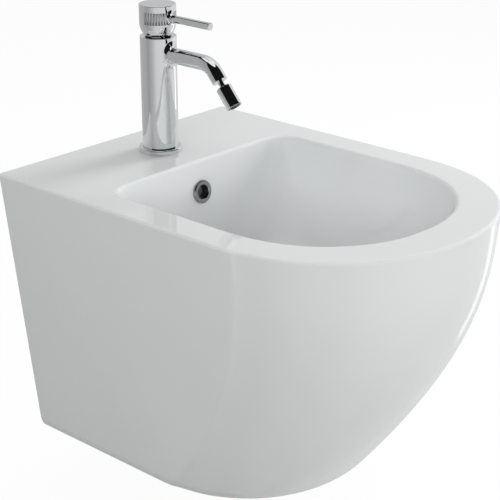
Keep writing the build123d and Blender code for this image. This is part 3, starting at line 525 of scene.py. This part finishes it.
@dataclass
class DeckClamp(SubAssembly):
    """Threaded stud, horseshoe washer and nut that hold the tap from below."""

    NODES: ClassVar[tuple[str, ...]] = (
        "tap_stud",
        "horseshoe_gasket",
        "horseshoe_washer",
        "stud_nut",
    )
    thread_pitch: float = 0.00125
    thread_lift: float = 0.00012
    thread_sink: float = 0.00002
    washer_turns: int = 6
    foot_turns: int = 10

    def build(self) -> None:
        """Adds the stud's thread as a ridge, below the nut and above the washer."""
        low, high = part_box("tap_stud")
        centre = ((low[0] + high[0]) / 2, (low[1] + high[1]) / 2)
        radius = (high[0] - low[0]) / 2
        nut_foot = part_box("stud_nut")[0][2]
        washer_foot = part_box("horseshoe_washer")[0][2]
        pitch = self.thread_pitch
        spans = {
            "stud_thread_low": (low[2] + pitch, nut_foot - pitch),
            "stud_thread_high": (
                washer_foot + self.washer_turns * pitch,
                high[2] - self.foot_turns * pitch,
            ),
        }
        for name, (start, end) in spans.items():
            root, crest = radius - self.thread_sink, radius + self.thread_lift
            helix = Helix(centre, start, end, root, crest, pitch)
            piece = Sculptor.grid(name, helix.rows(), self.palette.get(Slot.STEEL))
            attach(piece, "bidet")
            log.info("DeckClamp: %s added", name)


@dataclass
class Cartridge(SubAssembly):
    """Ceramic-disc cartridge: housing, discs, rotor and its nut."""

    NODES: ClassVar[tuple[str, ...]] = (
        "cartridge_housing",
        "fixed_disc",
        "cartridge_nut",
        "cartridge_rotor",
        "pivot_pin",
        "moving_disc",
        "disc_carrier",
    )
    SPECIAL: ClassVar[dict[str, MetalFinish]] = {"cartridge_nut": AGED_BRASS}


@dataclass
class Handle(SubAssembly):
    """Cap with its lever, spindle and grub screw, and the ribbed grip."""

    NODES: ClassVar[tuple[str, ...]] = ("lever_handle", "spindle", "handle_grub_screw")
    pitch_degrees: float = 9.0
    grip_low: float = 0.2296
    grip_high: float = 0.2430
    land_share: float = 0.2
    stand_off: float = 0.00003
    crest: float = 0.00016
    valley: float = 0.00058
    roundness: float = 1.5
    end_slope: float = 0.00035
    end_sink: float = 0.00002
    samples: int = 16
    grip_start: float = -180.0
    grip_end: float = 0.0
    lever_place: float = -90.0
    lever_clear: float = 9.0

    def height(self, phase: float) -> float:
        """Returns how far a rib stands off the handle's side.

        Args:
            phase: 0 on a rib's crown, 0.5 in the middle of a groove.

        Returns:
            The radial height in metres, negative in the groove.
        """
        away = abs(phase - round(phase))
        if away < self.land_share:
            return self.stand_off + self.crest * (1 - (away / self.land_share) ** 2)
        share = (away - self.land_share) / (0.5 - self.land_share)
        return self.stand_off - self.valley * math.sin(share * math.pi / 2) ** self.roundness

    def row(self, level: float, ends: tuple[float, float], ribbed: bool) -> list[Point]:
        """Returns one row of points round the handle.

        Args:
            level: the row's height.
            ends: first and last angle in degrees.
            ribbed: whether the row follows the ribs or sinks into the handle's side.

        Returns:
            The points.
        """
        low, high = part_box("lever_handle")
        radius = (high[0] - low[0]) / 2
        centre_y = high[1] - radius
        first, last = ends
        count = round((last - first) / self.pitch_degrees * self.samples)
        points = []
        for i in range(count + 1):
            degrees = first + (last - first) * i / count
            lift = self.height((degrees - self.grip_start) / self.pitch_degrees)
            reach = radius + (lift if ribbed else -self.end_sink)
            turn = math.radians(degrees)
            points.append((reach * math.cos(turn), centre_y + reach * math.sin(turn), level))
        return points

    def build(self) -> None:
        """Adds rounded ribs over the grooves of the grip, one patch each side of the lever."""
        slope = self.end_slope
        levels = (
            (self.grip_low - slope, False),
            (self.grip_low + slope, True),
            (self.grip_high - slope, True),
            (self.grip_high + slope, False),
        )
        patches = {
            "grip_ribs_left": (self.grip_start, self.lever_place - self.lever_clear),
            "grip_ribs_right": (self.lever_place + self.lever_clear, self.grip_end),
        }
        for name, ends in patches.items():
            rows = [self.row(level, ends, ribbed) for level, ribbed in levels]
            # The ribs take the darker chrome, painted shade between the ribs.
            piece = Sculptor.grid(name, rows, self.palette.get(Slot.CHROME, SHADED_GRIP_CHROME))
            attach(piece, "handle")
            log.info("Handle: %s added", name)


@dataclass
class Swivel(SubAssembly):
    """Ball joint at the spout's end with the aerator on it."""

    NODES: ClassVar[tuple[str, ...]] = (
        "ball_stem",
        "swivel_seal",
        "swivel_cap",
        "aerator_housing",
        "aerator_gasket",
        "aerator_insert",
    )


ASSEMBLIES = (
    Ceramic,
    WallFixings,
    Overflow,
    WasteFitting,
    Plug,
    TapBody,
    DeckClamp,
    Cartridge,
    Handle,
    Swivel,
)


@dataclass(frozen=True)
class Window:
    """Patch of the reflection drum in degrees of azimuth and elevation, with its brightness."""

    azimuth: tuple[float, float]
    elevation: tuple[float, float]
    value: float
    soft_azimuth: float = 4.0
    soft_elevation: float = 4.0


@dataclass(frozen=True)
class Drum:
    """Sphere of greys round the set that only reflections see."""

    centre: Point = (0.0, -0.07, 0.20)
    radius: float = 1.6
    columns: int = 96
    rings: int = 48
    tones: tuple[tuple[float, float], ...] = (
        (0.0, 0.82),
        (46.0, 0.60),
        (110.0, 0.46),
        (140.0, 0.44),
        (156.0, 0.36),
        (185.0, 0.50),
        (210.0, 0.72),
        (258.0, 0.78),
        (300.0, 0.72),
        (335.0, 0.84),
        (360.0, 0.82),
    )
    windows: tuple[Window, ...] = (
        Window((0.0, 360.0), (64.0, 95.0), 1.0, 1.0, 8.0),
        Window((168.0, 330.0), (2.0, 62.0), 0.008),
        Window((92.0, 190.0), (47.0, 55.0), 0.008, 6.0, 3.0),
        Window((343.0, 351.0), (-40.0, -14.0), 1.5, 1.0, 2.0),
    )


@dataclass(frozen=True)
class Lamp:
    """Soft rectangular lamp aimed at the object."""

    name: str
    place: Point
    size: tuple[float, float]
    power: float
    aim: Point = (0.0, -0.25, -0.02)


@dataclass
class Studio:
    """Pale floor, plain world, soft lamps, reflection drum and the camera."""

    floor_level: float = -0.33
    floor_half: float = 6.0
    floor_shade: float = 0.42
    floor_glow: float = 1.08
    floor_glow_share: float = 0.88
    camera_place: Point = (-1.1480, -1.2573, 0.6080)
    camera_right: Point = (0.6731, -0.7395, -0.0018)
    camera_up: Point = (0.2716, 0.2450, 0.9307)
    camera_lens: float = 107.887
    camera_sensor: float = 36.0
    camera_shift: tuple[float, float] = (-0.0025, -0.0078)
    camera_clip: tuple[float, float] = (0.05, 50.0)
    ambient: float = 0.42

    @staticmethod
    def light_path(graph: Graph) -> bpy.types.NodeSocket:
        """Returns a value of one for the rays that show the white background.

        Args:
            graph: the material or world being made.

        Returns:
            One for camera, glossy and transmission rays.
        """
        path = graph.add("LightPath")
        total = path.outputs["Is Camera Ray"]
        for name in ("Is Glossy Ray", "Is Transmission Ray"):
            total = graph.math("MAXIMUM", total, path.outputs[name])
        return total

    def make_world(self) -> None:
        """White to the camera and in reflections, a weaker fill light otherwise."""
        world = bpy.data.worlds.new("studio_world")
        bpy.context.scene.world = world
        world.use_nodes = True
        graph = Graph(world.node_tree)
        output = graph.add("OutputWorld")
        back = graph.add("Background", Color=WHITE)
        strength = graph.ramp(self.light_path(graph), 0.0, 1.0, self.ambient, 1.0)
        graph.link(strength, back.inputs["Strength"])
        graph.link(back.outputs[0], output.inputs["Surface"])

    def floor_material(self) -> bpy.types.Material:
        """Returns a glowing white that takes a faint shadow and is clear from below."""
        graph = SurfaceGraph("floor_white")
        shade = self.floor_shade
        diffuse = graph.add("BsdfDiffuse", Color=(shade, shade, shade, 1.0))
        glow = graph.add("Emission", Color=WHITE, Strength=self.floor_glow)
        mix = graph.add("MixShader")
        seen = graph.ramp(self.light_path(graph), 0.0, 1.0, 0.0, self.floor_glow_share)
        graph.link(seen, mix.inputs[0])
        graph.link(diffuse.outputs[0], mix.inputs[1])
        graph.link(glow.outputs[0], mix.inputs[2])
        side = graph.add("MixShader")
        graph.link(graph.add("NewGeometry").outputs["Backfacing"], side.inputs[0])
        graph.link(mix.outputs[0], side.inputs[1])
        graph.link(graph.add("BsdfTransparent").outputs[0], side.inputs[2])
        return graph.finish(side)

    def make_floor(self) -> None:
        """Lays the floor, which reflections don't see."""
        half = self.floor_half
        corners = [(-half, -half), (half, -half), (half, half), (-half, half)]
        mesh = bpy.data.meshes.new("studio_floor")
        mesh.from_pydata([(x, y, self.floor_level) for x, y in corners], [], [(0, 1, 2, 3)])
        mesh.materials.append(self.floor_material())
        floor = bpy.data.objects.new("studio_floor", mesh)
        bpy.context.scene.collection.objects.link(floor)
        floor.visible_glossy = False

    @staticmethod
    def inside(
        graph: Graph,
        value: bpy.types.NodeSocket,
        span: tuple[float, float],
        soft: float,
    ) -> bpy.types.NodeSocket:
        """Returns one inside a range of angles, falling softly to nought outside.

        Args:
            graph: the drum's material.
            value: the angle in degrees.
            span: the range.
            soft: the width of the fall.

        Returns:
            The mask.
        """
        rise = graph.ramp(value, span[0] - soft, span[0], 0.0, 1.0)
        fall = graph.ramp(value, span[1], span[1] + soft, 1.0, 0.0)
        return graph.math("MULTIPLY", rise, fall)

    def drum_material(self, drum: Drum) -> bpy.types.Material:
        """Paints the drum by direction: greys by azimuth, then its windows.

        Args:
            drum: its tones and windows.

        Returns:
            The glowing material.
        """
        graph = SurfaceGraph("studio_drum")
        unit = graph.add("VectorMath", operation="NORMALIZE")
        graph.link(graph.place(), unit.inputs[0])
        split = graph.add("SeparateXYZ")
        graph.link(unit.outputs[0], split.inputs[0])
        turn = graph.math("ARCTAN2", split.outputs["Y"], split.outputs["X"])
        turns = graph.math("DIVIDE", turn, math.tau)
        share = graph.math("FRACT", graph.math("ADD", turns, 1.0))
        azimuth = graph.math("MULTIPLY", share, FULL_TURN)
        rise = graph.math("ARCSINE", split.outputs["Z"])
        elevation = graph.math("MULTIPLY", rise, math.degrees(1.0))
        tones = graph.add("ValToRGB")
        ramp = tones.color_ramp
        for place, _ in drum.tones[1:-1]:
            ramp.elements.new(place / FULL_TURN)
        for element, (place, tone) in zip(ramp.elements, drum.tones):
            element.position = place / FULL_TURN
            element.color = (tone, tone, tone, 1.0)
        graph.link(share, tones.inputs[0])
        value = tones.outputs["Color"]
        for window in drum.windows:
            across = self.inside(graph, azimuth, window.azimuth, window.soft_azimuth)
            along = self.inside(graph, elevation, window.elevation, window.soft_elevation)
            mix = graph.add("Mix", data_type="FLOAT")
            graph.link(graph.math("MULTIPLY", across, along), mix.inputs[0])
            graph.link(value, mix.inputs[MIX_FIRST_VALUE])
            mix.inputs[MIX_SECOND_VALUE].default_value = window.value
            value = mix.outputs[0]
        glow = graph.add("Emission", Color=WHITE)
        graph.link(value, glow.inputs["Strength"])
        return graph.finish(glow)

    def make_drum(self, drum: Drum) -> None:
        """Builds the reflection drum, seen by glossy rays alone.

        Args:
            drum: its size, tones and windows.
        """
        mesh = bmesh.new()
        bmesh.ops.create_uvsphere(
            mesh, u_segments=drum.columns, v_segments=drum.rings, radius=drum.radius
        )
        data = bpy.data.meshes.new("studio_drum")
        mesh.to_mesh(data)
        mesh.free()
        data.materials.append(self.drum_material(drum))
        made = bpy.data.objects.new("studio_drum", data)
        made.location = drum.centre
        bpy.context.scene.collection.objects.link(made)
        made.visible_camera = False
        made.visible_diffuse = False
        made.visible_shadow = False
        made.visible_transmission = False
        made.visible_volume_scatter = False

    def make_lamp(self, lamp: Lamp) -> None:
        """Adds one area lamp.

        Args:
            lamp: its place, size and power.
        """
        data = bpy.data.lights.new(lamp.name, "AREA")
        data.shape = "RECTANGLE"
        data.size, data.size_y = lamp.size
        data.energy = lamp.power
        made = bpy.data.objects.new(lamp.name, data)
        made.location = lamp.place
        way = Vector(lamp.aim) - Vector(lamp.place)
        made.rotation_mode = "QUATERNION"
        made.rotation_quaternion = way.to_track_quat("-Z", "Y")
        made.visible_glossy = False
        made.visible_camera = False
        bpy.context.scene.collection.objects.link(made)

    def make_camera(self) -> None:
        """Camera at the photograph's viewing angle."""
        data = bpy.data.cameras.new("view_camera")
        data.sensor_width = self.camera_sensor
        data.lens = self.camera_lens
        data.shift_x, data.shift_y = self.camera_shift
        data.clip_start, data.clip_end = self.camera_clip
        camera = bpy.data.objects.new("view_camera", data)
        right = Vector(self.camera_right).normalized()
        up = Vector(self.camera_up)
        up = (up - right * up.dot(right)).normalized()
        back = right.cross(up)
        turn = Matrix((right, up, back)).transposed().to_4x4()
        camera.matrix_world = Matrix.Translation(self.camera_place) @ turn
        bpy.context.scene.collection.objects.link(camera)
        bpy.context.scene.camera = camera

    def build(self, lamps: Sequence[Lamp]) -> None:
        """Makes the whole studio.

        Args:
            lamps: the lamps to add.
        """
        self.make_camera()
        self.make_world()
        self.make_floor()
        for lamp in lamps:
            self.make_lamp(lamp)
        self.make_drum(Drum())
        bpy.context.scene.view_settings.view_transform = "Standard"
        log.info("studio: %d lamps", len(lamps))


LAMPS = (
    Lamp("lamp_top", (0.2, -0.2, 1.9), (2.0, 2.0), 8.0),
    Lamp("lamp_right", (1.75, -0.30, 0.95), (0.7, 0.7), 21.0),
    Lamp("lamp_front", (0.9, -2.2, 0.12), (1.5, 0.7), 18.5),
    Lamp("lamp_left", (-1.9, -1.1, 0.70), (1.4, 0.6), 15.5),
)


def main() -> None:
    """Builds, dresses and reports each sub-assembly, then the studio."""
    logging.basicConfig(level=logging.INFO, format="%(name)s: %(message)s")
    palette = Palette()
    slots = {entry["node"]: Slot(entry["material_slot"]) for entry in frame["record"]["subparts"]}
    for kind in ASSEMBLIES:
        assembly = kind(palette, slots)
        assembly.build()
        assembly.dress()
    Studio().build(LAMPS)


if __name__ == "__main__":
    main()
